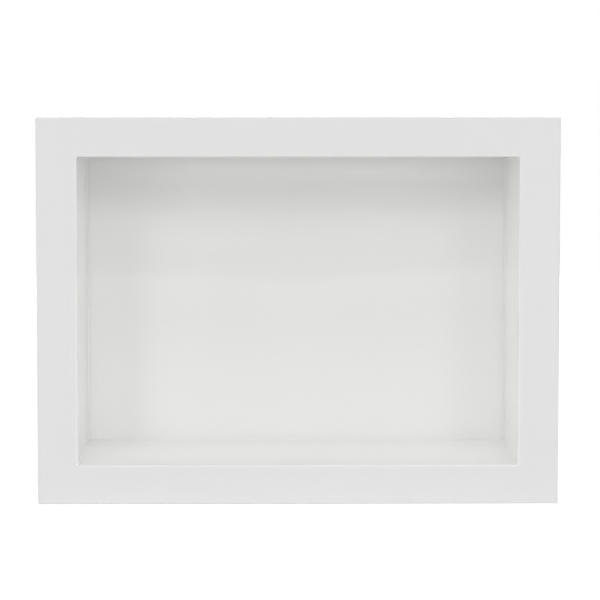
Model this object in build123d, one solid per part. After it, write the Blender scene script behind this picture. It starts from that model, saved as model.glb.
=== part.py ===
from build123d import *
import math
import os

# One-piece moulded niche insert for a shower wall: a flat flange and a drafted box recess behind it.
# +X is to the right and +Z is up as the user faces it, and +Y goes into the wall.
# The origin is the centre of the opening on the wall's surface, where the flange's back face lies.

# Driving dimensions in millimetres, and angles in degrees
FACE_W = 419.0  # flange, overall
FACE_H = 311.0
FLANGE_T = 5.0
RIM_R = 1.5  # rounding of the flange's front edges and of its four corners
MOUTH_W = 354.0  # clear opening, measured on the face
MOUTH_H = 248.0
MOUTH_R = 1.5  # rounding of the edge between the face and the recess
RECESS_D = 89.0  # from the face to the back wall, inside
WALL_T = 4.0  # moulded wall round the recess and behind it
CORNER_R = 1.0  # inside corners of the recess
ROOT_R = 1.5  # fillet where the box leaves the flange's back face
SIDE_DRAFT = 1.0  # sides and ceiling close in towards the back, so that the moulding leaves its tool
FLOOR_FALL = 5.0  # the floor falls towards the front, so that water runs out

# Values that follow from them
FACE_Y = -FLANGE_T
CUT_LEAD = MOUTH_R + CORNER_R  # how far the shape that cuts the recess stands out in front of the face

# The moulding's flat faces that lie square to the recess, counted from the front
FACE, SEAT = 0, 1


def inset(depth, angle, wall):
    """How far in a sloped side lies at a depth behind the face, less the wall's thickness."""
    slope = math.radians(angle)
    return depth * math.tan(slope) - wall / math.cos(slope)


def box_form(start, end, wall):
    """The recess as a drafted box between two depths behind the face, grown outwards by a wall.

    Its side profile and its plan are each drawn once and extruded, and the box is what the two share.
    """
    near, far = FACE_Y + start, FACE_Y + end
    half_w, half_h = MOUTH_W / 2, MOUTH_H / 2
    profile = Polyline(
        (0, near, half_h - inset(start, SIDE_DRAFT, wall)),
        (0, far, half_h - inset(end, SIDE_DRAFT, wall)),
        (0, far, inset(end, FLOOR_FALL, wall) - half_h),
        (0, near, inset(start, FLOOR_FALL, wall) - half_h),
        close=True,
    )
    plan = Polyline(
        (inset(start, SIDE_DRAFT, wall) - half_w, near, 0),
        (inset(end, SIDE_DRAFT, wall) - half_w, far, 0),
        (half_w - inset(end, SIDE_DRAFT, wall), far, 0),
        (half_w - inset(start, SIDE_DRAFT, wall), near, 0),
        close=True,
    )
    across = extrude(make_face(profile), amount=FACE_W / 2, dir=(1, 0, 0), both=True)
    upright = extrude(make_face(plan), amount=FACE_H / 2, dir=(0, 0, 1), both=True)
    return across & upright


def round_behind_front(box, radius):
    """Rounds every edge of a drafted box but the four round its open front."""
    front = box.faces().sort_by(Axis.Y).first.edges()
    return fillet([edge for edge in box.edges() if edge not in front], radius)


def round_inner_edge(moulding, flat, radius):
    """Rounds the edge round the opening of one of the flange's two flat sides."""
    ring = moulding.faces().filter_by(Plane.XZ).sort_by(Axis.Y)[flat]
    return fillet(ring.inner_wires()[0].edges(), radius)


def make_flange():
    """The plate of the flange, flat behind and rounded at its corners and round its front."""
    plate = Pos(0, FACE_Y / 2, 0) * Box(FACE_W, FLANGE_T, FACE_H)
    corners = plate.edges().filter_by(Axis.Y)
    front = plate.faces().sort_by(Axis.Y).first.edges()
    return fillet(corners + front, RIM_R)


def make_niche_insert():
    """The whole moulding, with the same wall round the recess, behind it and at its rounded corners."""
    outside = round_behind_front(box_form(0, RECESS_D + WALL_T, WALL_T), CORNER_R + WALL_T)
    recess = round_behind_front(box_form(-CUT_LEAD, RECESS_D, 0), CORNER_R)
    moulding = make_flange() + outside - recess
    moulding = round_inner_edge(moulding, FACE, MOUTH_R)
    return round_inner_edge(moulding, SEAT, ROOT_R)


os.makedirs("parts", exist_ok=True)
niche_insert = make_niche_insert()
export_step(niche_insert, "parts/niche_insert.step")
print("niche_insert", round(niche_insert.volume), "mm3,", len(niche_insert.faces()), "faces")
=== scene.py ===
"""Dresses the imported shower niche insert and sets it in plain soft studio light.

The moulding follows one rule: a wall section that is carried round a rectangular opening. Geometry Nodes
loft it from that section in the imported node's form, with a polished recess, a satin flange and a matt side
that goes into the wall.
"""

import logging
import math
from collections.abc import Mapping, Sequence
from dataclasses import dataclass, fields
from enum import Enum, IntEnum
from typing import Union

import bpy
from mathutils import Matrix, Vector


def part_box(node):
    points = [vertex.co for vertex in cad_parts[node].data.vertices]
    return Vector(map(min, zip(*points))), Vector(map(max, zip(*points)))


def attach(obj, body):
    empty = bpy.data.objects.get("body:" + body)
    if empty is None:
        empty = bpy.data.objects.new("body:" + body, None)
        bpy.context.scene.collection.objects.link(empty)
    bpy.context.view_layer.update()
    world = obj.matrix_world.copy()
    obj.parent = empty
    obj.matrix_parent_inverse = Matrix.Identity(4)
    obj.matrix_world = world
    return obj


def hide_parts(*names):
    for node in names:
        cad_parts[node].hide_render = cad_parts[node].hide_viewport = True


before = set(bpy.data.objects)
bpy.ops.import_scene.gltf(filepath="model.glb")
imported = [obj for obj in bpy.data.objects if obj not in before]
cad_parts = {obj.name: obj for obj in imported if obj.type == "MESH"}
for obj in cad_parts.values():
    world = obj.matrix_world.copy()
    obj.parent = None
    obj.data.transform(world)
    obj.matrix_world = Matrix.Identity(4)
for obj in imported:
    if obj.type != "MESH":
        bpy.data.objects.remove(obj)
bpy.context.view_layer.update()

LOG = logging.getLogger("niche_insert")
NODE = "niche_insert"
BODY = "root"

QUARTER_TURN = math.pi / 2
PLASTIC_IOR = 1.5
SEAM_GAP = 1e-6  # points of the skin that are closer than this, in metres, are one
SENSOR_WIDTH = 36.0  # of the camera, in millimetres

Feed = Union["Term", bpy.types.NodeSocket, bpy.types.Material, Sequence[float], str, float, int, bool]


@dataclass(frozen=True)
class Term:
    """A number inside a node tree, which adds and scales like a plain one.

    Attributes:
        writer: What writes the tree.
        socket: The output that carries the number.
    """

    writer: "TreeWriter"
    socket: bpy.types.NodeSocket

    def __add__(self, other: Feed) -> "Term":
        """The sum."""
        return self.writer.math("ADD", self, other)

    def __sub__(self, other: Feed) -> "Term":
        """The difference."""
        return self.writer.math("SUBTRACT", self, other)

    def __rsub__(self, other: Feed) -> "Term":
        """The difference from a plain number."""
        return self.writer.math("SUBTRACT", other, self)

    def __mul__(self, other: Feed) -> "Term":
        """The product."""
        return self.writer.math("MULTIPLY", self, other)

    def __truediv__(self, other: Feed) -> "Term":
        """The quotient, which is nought where the divisor is."""
        return self.writer.math("DIVIDE", self, other)

    def __neg__(self) -> "Term":
        """The same number with the other sign."""
        return self.writer.math("MULTIPLY", self, -1.0)


class TreeWriter:
    """Writes a node tree in short lines, one node to a call."""

    def __init__(self, tree: bpy.types.NodeTree) -> None:
        """Takes the tree to write in."""
        self.tree = tree

    def node(self, kind: str, inputs: Mapping[str | int, Feed] | None = None,
             **settings: object) -> bpy.types.Node:
        """Adds a node and feeds its inputs.

        Args:
            kind: Blender's name for the type of node.
            inputs: What goes into each input, by the input's name or number.
            **settings: The node's own properties.

        Returns:
            The new node.
        """
        made = self.tree.nodes.new(kind)
        for name, value in settings.items():
            setattr(made, name, value)
        for key, value in (inputs or {}).items():
            self.feed(made.inputs[key], value)
        return made

    def feed(self, socket: bpy.types.NodeSocket, value: Feed) -> None:
        """Joins an input to an output, or sets it to a plain value.

        Args:
            socket: The input.
            value: An output, or a number, colour, name or material.
        """
        if isinstance(value, Term):
            value = value.socket
        if isinstance(value, bpy.types.NodeSocket):
            self.tree.links.new(value, socket)
        else:
            socket.default_value = value

    def term(self, kind: str, inputs: Mapping[str | int, Feed] | None = None, output: str | int = 0,
             **settings: object) -> Term:
        """Adds a node that gives one number.

        Args:
            kind: Blender's name for the type of node.
            inputs: What goes into each input.
            output: The output that carries the number.
            **settings: The node's own properties.

        Returns:
            The number.
        """
        return Term(self, self.node(kind, inputs, **settings).outputs[output])

    def math(self, operation: str, *numbers: Feed) -> Term:
        """Works out one number from others.

        Args:
            operation: Blender's name for the sum.
            *numbers: What goes in, in order.

        Returns:
            The result.
        """
        return self.term("ShaderNodeMath", dict(enumerate(numbers)), operation=operation)

    def vector(self, x: Feed, y: Feed, z: Feed) -> bpy.types.NodeSocket:
        """Joins three numbers into a vector."""
        return self.node("ShaderNodeCombineXYZ", {"X": x, "Y": y, "Z": z}).outputs[0]


class Corner(IntEnum):
    """The corners of the wall section, from the middle of the back wall round to the box's outside."""

    BACK_MIDDLE = 0
    BACK_EDGE = 1
    MOUTH = 2
    RIM_FRONT = 3
    RIM_BACK = 4
    ROOT = 5
    BOX_EDGE = 6
    BOX_MIDDLE = 7


class Region(Enum):
    """The parts of the moulding's surface that have a finish of their own."""

    RECESS = "Recess Finish"
    FLANGE = "Flange Finish"
    HIDDEN = "Hidden Finish"


# The first corner of the section that a region's faces lead up to
REGION_STARTS = {
    Region.RECESS: Corner.BACK_MIDDLE,
    Region.FLANGE: Corner.RIM_FRONT,
    Region.HIDDEN: Corner.ROOT,
}


class Field(Enum):
    """What each corner of the section passes on to the rings that it makes."""

    ROUNDING = "rounding"
    CORE = "core"
    TRIM = "trim"
    DRAINS = "drains"
    CORNER = "corner"


@dataclass(frozen=True)
class CornerRule:
    """Where a corner of the wall section lies, and how it is carried round the opening.

    Attributes:
        out: How far it lies outside the edge of the opening.
        deep: How far it lies behind the face.
        rounding: Radius of the corner in the section.
        turn: Radius of the four corners of the ring that it makes.
        trim: How much further out it lies above and below the opening than beside it.
        drains: Whether its ring follows the falling floor, as 1 or 0.
    """

    out: Feed
    deep: Feed
    rounding: Feed = 0.0
    turn: Feed = 0.0
    trim: Feed = 0.0
    drains: float = 1.0


@dataclass
class NicheShell:
    """The whole moulding: a flat flange, and the drafted box recess behind it.

    Lengths are in metres and angles in radians. +X is right, +Z is up, and +Y goes into the wall from the
    seat of the flange at nought.

    Attributes:
        face_width: Width of the flange.
        face_height: Its height.
        flange_thickness: Its thickness.
        recess_depth: From the face to the back wall, inside.
        wall: Thickness of the wall round the recess and behind it.
        mouth_width: Width of the clear opening, on the face.
        mouth_height: Its height.
        rim_rounding: Rounding of the flange's front edges and of its four corners.
        mouth_rounding: Rounding of the edge between the face and the recess.
        corner_rounding: Rounding of the recess's inside corners.
        root_rounding: Fillet where the box leaves the flange's seat.
        side_draft: How far the sides and ceiling close in towards the back.
        floor_fall: How far the floor falls towards the front.
        arc_steps: Steps in each rounded corner.
    """

    face_width: float
    face_height: float
    flange_thickness: float
    recess_depth: float
    wall: float
    mouth_width: float = 0.354
    mouth_height: float = 0.248
    rim_rounding: float = 0.0015
    mouth_rounding: float = 0.0015
    corner_rounding: float = 0.001
    root_rounding: float = 0.0015
    side_draft: float = math.radians(1.0)
    floor_fall: float = math.radians(5.0)
    arc_steps: int = 8

    @classmethod
    def from_frame(cls, wall: float = 0.004) -> "NicheShell":
        """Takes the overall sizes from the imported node.

        Args:
            wall: Thickness of the moulded wall.

        Returns:
            The moulding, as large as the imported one.
        """
        low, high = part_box(NODE)
        return cls(
            face_width=high[0] - low[0],
            face_height=high[2] - low[2],
            flange_thickness=-low[1],
            recess_depth=high[1] - low[1] - wall,
            wall=wall,
        )

    def build(self, finishes: Mapping[Region, bpy.types.Material]) -> bpy.types.Object:
        """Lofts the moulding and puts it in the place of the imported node.

        Args:
            finishes: The material of each region.

        Returns:
            The finished piece.
        """
        draft = bpy.data.objects.new("niche_draft", bpy.data.meshes.new("niche_draft"))
        bpy.context.scene.collection.objects.link(draft)
        tree = self.loft_tree()
        loft = draft.modifiers.new("loft", "NODES")
        loft.node_group = tree
        values = {input_name(size.name): getattr(self, size.name) for size in fields(self)}
        values |= {region.value: material for region, material in finishes.items()}
        for item in tree.interface.items_tree:
            if item.in_out == "INPUT":
                loft[item.identifier] = values[item.name]
        shading = draft.modifiers.new("flat_faces", "WEIGHTED_NORMAL")
        shading.mode = "FACE_AREA"
        mesh = bpy.data.meshes.new_from_object(draft.evaluated_get(bpy.context.evaluated_depsgraph_get()))
        mesh.materials.pop(index=mesh.materials.values().index(None))
        bpy.data.objects.remove(draft)
        piece = bpy.data.objects.new("niche_moulding", mesh)
        bpy.context.scene.collection.objects.link(piece)
        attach(piece, BODY)
        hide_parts(NODE)
        LOG.info("%s: %d faces", piece.name, len(mesh.polygons))
        return piece

    def loft_tree(self) -> bpy.types.NodeTree:
        """Writes the tree that carries the section round the opening.

        Returns:
            The tree, with an input for each size and for each region's finish.
        """
        tree = bpy.data.node_groups.new("niche_shell_loft", "GeometryNodeTree")
        sockets = tree.interface
        for size in fields(self):
            kind = "NodeSocketInt" if isinstance(getattr(self, size.name), int) else "NodeSocketFloat"
            sockets.new_socket(input_name(size.name), in_out="INPUT", socket_type=kind)
        for region in Region:
            sockets.new_socket(region.value, in_out="INPUT", socket_type="NodeSocketMaterial")
        sockets.new_socket("Geometry", in_out="OUTPUT", socket_type="NodeSocketGeometry")
        pen = TreeWriter(tree)
        given = pen.node("NodeGroupInput").outputs
        size = {item.name: Term(pen, given[input_name(item.name)]) for item in fields(self)}
        section = self.section(pen, size)
        skin = self.skin(pen, size, section)
        dressed = pen.node("GeometryNodeRealizeInstances", {"Geometry": skin}).outputs[0]
        last_corner = self.named(pen, Field.CORNER)
        for region, first in REGION_STARTS.items():
            dressed = pen.node("GeometryNodeSetMaterial", {
                "Geometry": dressed,
                "Selection": pen.math("GREATER_THAN", last_corner, first - 0.5),
                "Material": given[region.value],
            }).outputs[0]
        pen.node("NodeGroupOutput", {"Geometry": dressed})
        return tree

    @staticmethod
    def corner_rules(pen: TreeWriter, size: Mapping[str, Term]) -> dict[Corner, CornerRule]:
        """Lays out the wall section.

        Args:
            pen: What writes the tree.
            size: The tree's sizes, by field name.

        Returns:
            A rule for each corner of the section.
        """
        draft = pen.math("TANGENT", size["side_draft"])
        skew_wall = size["wall"] / pen.math("COSINE", size["side_draft"])
        band = (size["face_width"] - size["mouth_width"]) * 0.5
        band_over = (size["face_height"] - size["mouth_height"]) * 0.5
        thick = size["flange_thickness"]
        inner = size["recess_depth"]
        outer = inner + size["wall"]
        small = size["corner_rounding"]
        large = small + size["wall"]
        middle = size["mouth_height"] * -0.5
        rim = size["rim_rounding"]
        return {
            Corner.BACK_MIDDLE: CornerRule(middle, inner),
            Corner.BACK_EDGE: CornerRule(-(inner * draft), inner, small, small),
            Corner.MOUTH: CornerRule(0.0, 0.0, size["mouth_rounding"], small),
            Corner.RIM_FRONT: CornerRule(band, 0.0, rim, rim, band_over - band, drains=0.0),
            Corner.RIM_BACK: CornerRule(band, thick, 0.0, rim, band_over - band, drains=0.0),
            Corner.ROOT: CornerRule(skew_wall - thick * draft, thick, size["root_rounding"], large),
            Corner.BOX_EDGE: CornerRule(skew_wall - outer * draft, outer, large, large),
            Corner.BOX_MIDDLE: CornerRule(middle, outer),
        }

    def section(self, pen: TreeWriter, size: Mapping[str, Term]) -> bpy.types.NodeSocket:
        """Draws the wall section as a line with rounded corners.

        Args:
            pen: What writes the tree.
            size: The tree's sizes, by field name.

        Returns:
            The line, with the distance out as X and the depth as Y.
        """
        rules = self.corner_rules(pen, size)
        line = pen.node("GeometryNodeMeshLine", {"Count": len(rules)}).outputs[0]
        place = pen.vector(
            self.by_corner(pen, [rule.out for rule in rules.values()]),
            self.by_corner(pen, [rule.deep for rule in rules.values()]),
            0.0,
        )
        line = pen.node("GeometryNodeSetPosition", {"Geometry": line, "Position": place}).outputs[0]
        passed_on = {
            Field.ROUNDING: [rule.rounding for rule in rules.values()],
            Field.CORE: [pen.math("SUBTRACT", rule.out, rule.turn) for rule in rules.values()],
            Field.TRIM: [rule.trim for rule in rules.values()],
            Field.DRAINS: [rule.drains for rule in rules.values()],
            Field.CORNER: [float(corner) for corner in rules],
        }
        for field, values in passed_on.items():
            line = pen.node("GeometryNodeStoreNamedAttribute", {
                "Geometry": line, "Name": field.value, "Value": self.by_corner(pen, values),
            }, data_type="FLOAT", domain="POINT").outputs[0]
        curve = pen.node("GeometryNodeMeshToCurve", {"Mesh": line}).outputs[0]
        rounding = self.named(pen, Field.ROUNDING)
        return pen.node("GeometryNodeFilletCurve", {
            "Curve": curve, "Count": size["arc_steps"], "Radius": rounding, "Limit Radius": True,
        }, mode="POLY").outputs[0]

    @staticmethod
    def by_corner(pen: TreeWriter, values: Sequence[Feed]) -> Term:
        """Picks a value for each corner of the section.

        Args:
            pen: What writes the tree.
            values: One for each corner, in order.

        Returns:
            The value at the corner in hand.
        """
        pick = pen.node("GeometryNodeIndexSwitch", data_type="FLOAT")
        while len(pick.index_switch_items) < len(values):
            pick.index_switch_items.new()
        pen.feed(pick.inputs["Index"], pen.term("GeometryNodeInputIndex"))
        for item, value in enumerate(values):
            pen.feed(pick.inputs[str(item)], value)
        return Term(pen, pick.outputs[0])

    @staticmethod
    def named(pen: TreeWriter, field: Field) -> Term:
        """Reads what the section's corners passed on."""
        return pen.term("GeometryNodeInputNamedAttribute", {"Name": field.value}, "Attribute",
                        data_type="FLOAT")

    def skin(self, pen: TreeWriter, size: Mapping[str, Term],
             section: bpy.types.NodeSocket) -> bpy.types.NodeSocket:
        """Carries the section round the opening as a closed skin.

        Args:
            pen: What writes the tree.
            size: The tree's sizes, by field name.
            section: The rounded section.

        Returns:
            The skin, whose faces know the corner of the section that they lead up to.
        """
        quarter = size["arc_steps"] + 1
        around = quarter * 4
        rings = pen.term("GeometryNodeAttributeDomainSize", {"Geometry": section}, "Point Count",
                         component="CURVE")
        grid = pen.node("GeometryNodeMeshGrid", {
            "Vertices X": rings, "Vertices Y": around + 1,
        }).outputs["Mesh"]
        index = pen.term("GeometryNodeInputIndex")

        def along(value: Feed, ring: Term, kind: str = "FLOAT") -> bpy.types.NodeSocket:
            """Reads a value of the section at a ring."""
            return pen.node("GeometryNodeSampleIndex", {"Geometry": section, "Value": value, "Index": ring},
                            data_type=kind, domain="POINT").outputs[0]

        strip_end = pen.math("FLOOR", index / around) + 1
        grid = pen.node("GeometryNodeStoreNamedAttribute", {
            "Geometry": grid, "Name": Field.CORNER.value,
            "Value": along(self.named(pen, Field.CORNER), strip_end),
        }, data_type="FLOAT", domain="FACE").outputs[0]

        ring = pen.math("FLOOR", index / (around + 1))
        step = pen.math("MODULO", index - ring * (around + 1), around)
        turn = pen.math("FLOOR", step / quarter)
        angle = (turn + (step - turn * quarter) / size["arc_steps"]) * QUARTER_TURN
        facing = (turn + 0.5) * QUARTER_TURN

        point = pen.node("ShaderNodeSeparateXYZ", {
            0: along(pen.node("GeometryNodeInputPosition").outputs[0], ring, "FLOAT_VECTOR"),
        })
        out, deep = Term(pen, point.outputs["X"]), Term(pen, point.outputs["Y"])
        core, trim, drains = (
            Term(pen, along(self.named(pen, field), ring))
            for field in (Field.CORE, Field.TRIM, Field.DRAINS)
        )
        turn_radius = pen.math("MAXIMUM", out - core, 0.0)
        half_width = size["mouth_width"] * 0.5 + out
        half_height = size["mouth_height"] * 0.5 + out + trim
        x = pen.math("SIGN", pen.math("COSINE", facing)) * (half_width - turn_radius)
        x = x + turn_radius * pen.math("COSINE", angle)
        z = pen.math("SIGN", pen.math("SINE", facing)) * (half_height - turn_radius)
        z = z + turn_radius * pen.math("SINE", angle)
        fall = pen.math("TANGENT", size["floor_fall"]) - pen.math("TANGENT", size["side_draft"])
        below_top = (half_height - z) / (half_height * 2.0)
        z = z + drains * deep * fall * below_top
        skin = pen.node("GeometryNodeSetPosition", {
            "Geometry": grid, "Position": pen.vector(x, deep - size["flange_thickness"], z),
        }).outputs[0]
        skin = pen.node("GeometryNodeMergeByDistance", {"Geometry": skin, "Distance": SEAM_GAP}).outputs[0]
        return pen.node("GeometryNodeSetShadeSmooth", {"Geometry": skin}).outputs[0]


def input_name(field_name: str) -> str:
    """The name of a tree's input for one of the sizes."""
    return field_name.replace("_", " ").title()


class SkinGroup:
    """The node group of a moulded skin: drifting tone, uneven gloss, a warped panel, waves and grain."""

    PANEL_SIZES = ("Panel Width", "Panel Height", "Bow", "Twist", "Swell", "Swell Radius")
    NOISE_SIZES = ("Wave Scale", "Wave Height", "Grain Scale", "Grain Height")
    TONE_SCALE = 9.0
    GLOSS_SCALE = 35.0

    def __init__(self) -> None:
        """Builds the group once, for every finish to use."""
        self.tree = bpy.data.node_groups.new("moulded_skin", "ShaderNodeTree")
        sockets = self.tree.interface
        sockets.new_socket("Place", in_out="INPUT", socket_type="NodeSocketVector")
        for name in self.PANEL_SIZES + self.NOISE_SIZES:
            sockets.new_socket(name, in_out="INPUT", socket_type="NodeSocketFloat")
        for name in ("Tone", "Gloss", "Height"):
            sockets.new_socket(name, in_out="OUTPUT", socket_type="NodeSocketFloat")
        pen = TreeWriter(self.tree)
        given = pen.node("NodeGroupInput").outputs
        waves = self.noise(pen, given["Place"], given["Wave Scale"], 0.0)
        grain = self.noise(pen, given["Place"], given["Grain Scale"], 1.0)
        relief = (waves - 0.5) * given["Wave Height"] + (grain - 0.5) * given["Grain Height"]
        pen.node("NodeGroupOutput", {
            "Tone": self.noise(pen, given["Place"], self.TONE_SCALE, 3.0),
            "Gloss": self.noise(pen, given["Place"], self.GLOSS_SCALE, 2.0),
            "Height": self.warp(pen, given) + relief,
        })

    @staticmethod
    def noise(pen: TreeWriter, place: Feed, scale: Feed, detail: float) -> Term:
        """Adds a noise from nought to one.

        Args:
            pen: What writes the tree.
            place: Where on the piece.
            scale: Lumps to the metre.
            detail: How many finer layers it has.

        Returns:
            The noise.
        """
        return pen.term("ShaderNodeTexNoise", {"Vector": place, "Scale": scale, "Detail": detail})

    @staticmethod
    def warp(pen: TreeWriter, given: Mapping[str, bpy.types.NodeSocket]) -> Term:
        """Adds the slow shape of a large flat panel that has cooled: a bow, a twist and a middle swell.

        Args:
            pen: What writes the tree.
            given: The group's inputs.

        Returns:
            The height in metres.
        """
        place = pen.node("ShaderNodeSeparateXYZ", {0: given["Place"]}).outputs
        x, z = Term(pen, place["X"]), Term(pen, place["Z"])
        across = x * 2.0 / given["Panel Width"]
        upward = z * 2.0 / given["Panel Height"]
        bow = (1.0 - across * across) * (1.0 - upward * upward) * given["Bow"]
        twist = across * upward * given["Twist"]
        spread = (x * x + z * z) / pen.math("MULTIPLY", given["Swell Radius"], given["Swell Radius"])
        swell = pen.math("EXPONENT", -spread) * given["Swell"]
        return bow + twist + swell


@dataclass(frozen=True)
class MouldedFinish:
    """A white moulded plastic surface, with lengths in metres.

    Attributes:
        name: The material's name.
        colour: Its usual colour.
        shade: The colour that it drifts to.
        smooth: Roughness where it is glossiest.
        rough: Roughness where it is dullest.
        grain_scale: Grains to the metre.
        grain_height: Their height.
        wave_scale: Waves of the tool to the metre.
        wave_height: Their height.
        panel_width: Width of the panel that is warped.
        panel_height: Height of that panel.
        bow: How far the panel's middle stands out.
        twist: How far its corners are turned out and in.
        swell: Height of the swell where the plastic entered the tool.
        swell_radius: How far the swell reaches.
    """

    name: str
    colour: tuple[float, float, float]
    shade: tuple[float, float, float]
    smooth: float
    rough: float
    grain_scale: float
    grain_height: float
    wave_scale: float = 12.0
    wave_height: float = 0.00002
    panel_width: float = 0.344
    panel_height: float = 0.236
    bow: float = 0.0
    twist: float = 0.0
    swell: float = 0.0
    swell_radius: float = 0.04

    def material(self, skin: SkinGroup) -> bpy.types.Material:
        """Makes the material.

        Args:
            skin: The group of the moulded skin.

        Returns:
            The material.
        """
        made = bpy.data.materials.new(self.name)
        made.use_nodes = True
        made.node_tree.nodes.clear()
        pen = TreeWriter(made.node_tree)
        group = pen.node("ShaderNodeGroup", node_tree=skin.tree)
        pen.feed(group.inputs["Place"], pen.node("ShaderNodeTexCoord").outputs["Object"])
        for name in skin.PANEL_SIZES + skin.NOISE_SIZES:
            pen.feed(group.inputs[name], getattr(self, name.replace(" ", "_").lower()))
        colour = pen.node("ShaderNodeMix", data_type="RGBA")
        pen.feed(colour.inputs["Factor"], group.outputs["Tone"])
        pen.feed(colour.inputs["A"], (*self.colour, 1.0))
        pen.feed(colour.inputs["B"], (*self.shade, 1.0))
        rough = pen.node("ShaderNodeMapRange", {
            "Value": group.outputs["Gloss"], "To Min": self.smooth, "To Max": self.rough,
        })
        bump = pen.node("ShaderNodeBump", {"Distance": 1.0, "Height": group.outputs["Height"]})
        surface = pen.node("ShaderNodeBsdfPrincipled", {
            "Base Color": colour.outputs["Result"], "Roughness": rough.outputs[0],
            "Normal": bump.outputs[0], "IOR": PLASTIC_IOR,
        })
        pen.node("ShaderNodeOutputMaterial", {"Surface": surface.outputs[0]})
        return made


@dataclass(frozen=True)
class SoftLamp:
    """A rectangular soft lamp that faces the moulding.

    Attributes:
        name: The lamp's name.
        bearing: Degrees to the right of straight in front, for someone who faces the moulding.
        lift: Degrees above level.
        width: Its size across, in metres.
        height: Its size upwards.
        power: Its strength in watts.
        distance: How far away it is.
        mirrored: Whether gloss shows it.
    """

    name: str
    bearing: float
    lift: float
    width: float
    height: float
    power: float
    distance: float = 5.0
    mirrored: bool = False

    def add(self) -> bpy.types.Object:
        """Hangs the lamp.

        Returns:
            The lamp.
        """
        bearing, lift = math.radians(self.bearing), math.radians(self.lift)
        level = math.cos(lift)
        way = Vector((math.sin(bearing) * level, -math.cos(bearing) * level, math.sin(lift)))
        lamp = bpy.data.lights.new(self.name, "AREA")
        lamp.shape = "RECTANGLE"
        lamp.size, lamp.size_y = self.width, self.height
        lamp.energy = self.power
        made = bpy.data.objects.new(self.name, lamp)
        made.visible_glossy = self.mirrored
        place_facing(made, way * self.distance, Vector())
        bpy.context.scene.collection.objects.link(made)
        LOG.info("%s: %.1f W", self.name, self.power)
        return made


def place_facing(thing: bpy.types.Object, place: Vector, aim: Vector) -> None:
    """Puts a lamp or camera in its place and turns it to face a point.

    Args:
        thing: The lamp or camera.
        place: Where it goes.
        aim: The point that it faces.
    """
    thing.location = place
    thing.rotation_euler = (aim - place).to_track_quat("-Z", "Y").to_euler()


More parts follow.
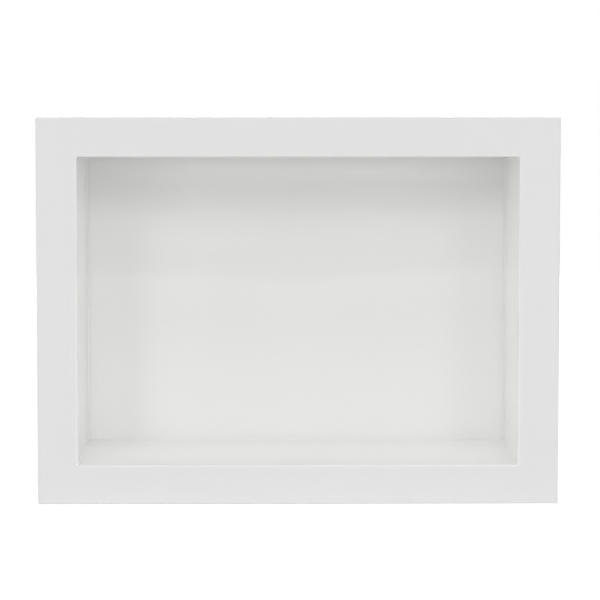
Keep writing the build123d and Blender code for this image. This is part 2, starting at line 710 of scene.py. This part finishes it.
@dataclass(frozen=True)
class Studio:
    """The floor, the light and the camera.

    Attributes:
        camera_place: Where the camera stands, in metres.
        camera_aim: The point that it faces.
        lens: Focal length in millimetres.
        drop: How far the picture's middle lies below that of the lens, as a share of its width.
        slide: How far it lies to the right of it.
        floor_near: How far the floor reaches in front of the flange's seat.
        floor_far: How far it reaches to the other sides.
        floor_colour: How pale the floor is under the lamps.
        floor_glow: How bright it is by itself where it is looked at.
        floor_fill: How bright it is by itself as light on the moulding.
        room: How bright the room is where gloss mirrors it.
        lamps: The soft lamps.
    """

    camera_place: tuple[float, float, float] = (-0.0357, -1.7093, 0.1536)
    camera_aim: tuple[float, float, float] = (-0.0187, -0.005, 0.0496)
    lens: float = 128.15
    drop: float = 0.0833
    slide: float = 0.0417
    floor_near: float = 2.48
    floor_far: float = 2.5
    floor_colour: float = 0.8
    floor_glow: float = 0.59
    floor_fill: float = 0.08
    room: float = 0.5
    lamps: tuple[SoftLamp, ...] = (
        SoftLamp("top_lamp", 0.0, 25.0, 1.0, 1.2, 32.0),
        SoftLamp("top_left_lamp", -30.0, 30.0, 1.0, 1.0, 17.0),
        SoftLamp("top_right_lamp", 30.0, 30.0, 1.0, 1.0, 14.0),
        SoftLamp("upper_lamp", 0.0, 45.0, 2.4, 1.2, 8.0),
        SoftLamp("upper_left_lamp", -60.0, 30.0, 1.0, 1.0, 12.5),
        SoftLamp("upper_right_lamp", 60.0, 30.0, 1.0, 1.0, 11.0),
        SoftLamp("high_lamp", 0.0, 68.0, 4.4, 1.7, 60.5, mirrored=True),
        SoftLamp("left_lamp", -37.0, 3.0, 1.9, 1.0, 25.5),
        SoftLamp("right_lamp", 22.0, 3.0, 1.0, 1.0, 6.0),
        SoftLamp("right_side_lamp", 39.0, 3.0, 2.2, 1.0, 18.0),
        SoftLamp("far_left_lamp", -78.0, 3.0, 1.0, 1.0, 33.5),
        SoftLamp("far_right_lamp", 78.0, 3.0, 1.0, 1.0, 37.0),
        SoftLamp("back_lamp", 180.0, 35.0, 3.0, 2.0, 110.0, mirrored=True),
    )

    def build(self) -> None:
        """Sets up the whole studio."""
        self.add_floor()
        self.add_world()
        for lamp in self.lamps:
            lamp.add()
        self.add_camera()
        bpy.context.scene.view_settings.view_transform = "Standard"

    def add_floor(self) -> None:
        """Lays the pale floor under the moulding."""
        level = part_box(NODE)[0][2]
        near, far = -self.floor_near, self.floor_far
        mesh = bpy.data.meshes.new("studio_floor")
        mesh.from_pydata([(-far, near, level), (far, near, level), (far, far, level), (-far, far, level)],
                         [], [(0, 1, 2, 3)])
        mesh.materials.append(self.floor_material())
        floor = bpy.data.objects.new("studio_floor", mesh)
        bpy.context.scene.collection.objects.link(floor)

    def floor_material(self) -> bpy.types.Material:
        """Makes a floor that looks white, keeps a faint shadow and can be seen through from below.

        Returns:
            The material.
        """
        made = bpy.data.materials.new("studio_floor")
        made.use_nodes = True
        made.node_tree.nodes.clear()
        pen = TreeWriter(made.node_tree)
        paper = pen.node("ShaderNodeBsdfDiffuse", {"Color": (*[self.floor_colour] * 3, 1.0)})
        glow = pen.node("ShaderNodeEmission", {
            "Strength": looked_at(pen) * (self.floor_glow - self.floor_fill) + self.floor_fill,
        })
        top = pen.node("ShaderNodeAddShader", {0: paper.outputs[0], 1: glow.outputs[0]})
        clear = pen.node("ShaderNodeBsdfTransparent")
        backfacing = pen.node("ShaderNodeNewGeometry").outputs["Backfacing"]
        whole = pen.node("ShaderNodeMixShader", {0: backfacing, 1: top.outputs[0], 2: clear.outputs[0]})
        pen.node("ShaderNodeOutputMaterial", {"Surface": whole.outputs[0]})
        return made

    def add_world(self) -> None:
        """Makes the room: white behind the moulding, dim where gloss mirrors it, and no light by itself."""
        world = bpy.data.worlds.new("studio_room")
        world.use_nodes = True
        world.node_tree.nodes.clear()
        pen = TreeWriter(world.node_tree)
        rays = pen.node("ShaderNodeLightPath").outputs
        white = pen.math("MAXIMUM", rays["Is Camera Ray"], rays["Is Transmission Ray"])
        mirrored = pen.math("MULTIPLY", rays["Is Glossy Ray"], self.room)
        sky = pen.node("ShaderNodeBackground", {
            "Color": (1.0, 1.0, 1.0, 1.0), "Strength": pen.math("MAXIMUM", white, mirrored),
        })
        pen.node("ShaderNodeOutputWorld", {"Surface": sky.outputs[0]})
        bpy.context.scene.world = world

    def add_camera(self) -> None:
        """Stands the camera where the photograph was taken from."""
        camera = bpy.data.cameras.new("studio_camera")
        camera.lens = self.lens
        camera.sensor_width = SENSOR_WIDTH
        camera.shift_x, camera.shift_y = self.slide, -self.drop
        made = bpy.data.objects.new("studio_camera", camera)
        place_facing(made, Vector(self.camera_place), Vector(self.camera_aim))
        bpy.context.scene.collection.objects.link(made)
        bpy.context.scene.camera = made


def looked_at(pen: TreeWriter) -> Term:
    """Tells rays that show a surface, straight or in a reflection, from rays that only gather light.

    Args:
        pen: What writes the material's tree.

    Returns:
        1 where the surface is looked at, and else nought.
    """
    rays = pen.node("ShaderNodeLightPath").outputs
    straight = pen.math("MAXIMUM", rays["Is Camera Ray"], rays["Is Transmission Ray"])
    return pen.math("MAXIMUM", straight, rays["Is Glossy Ray"])


FINISHES = {
    Region.RECESS: MouldedFinish(
        name="polished_recess_painted_light",
        # Paler than the flange, though both are one plastic: painted light that lifts the shade in the
        # recess's corners and creases.
        colour=(0.96, 0.96, 0.954),
        shade=(0.957, 0.957, 0.95),
        smooth=0.015,
        rough=0.025,
        grain_scale=900.0,
        grain_height=0.0000002,
        bow=0.0005,
        twist=0.00014,
        swell=0.00017,
    ),
    Region.FLANGE: MouldedFinish(
        name="satin_white_flange",
        colour=(0.9, 0.9, 0.899),
        shade=(0.895, 0.895, 0.893),
        smooth=0.3,
        rough=0.36,
        grain_scale=1200.0,
        grain_height=0.000001,
    ),
    Region.HIDDEN: MouldedFinish(
        name="matt_white_back",
        colour=(0.86, 0.86, 0.855),
        shade=(0.83, 0.83, 0.82),
        smooth=0.42,
        rough=0.55,
        grain_scale=1400.0,
        grain_height=0.00001,
    ),
}


def main() -> None:
    """Builds the moulding, then the studio round it."""
    logging.basicConfig(level=logging.INFO, format="%(message)s")
    skin = SkinGroup()
    NicheShell.from_frame().build({region: finish.material(skin) for region, finish in FINISHES.items()})
    Studio().build()


if __name__ == "__main__":
    main()
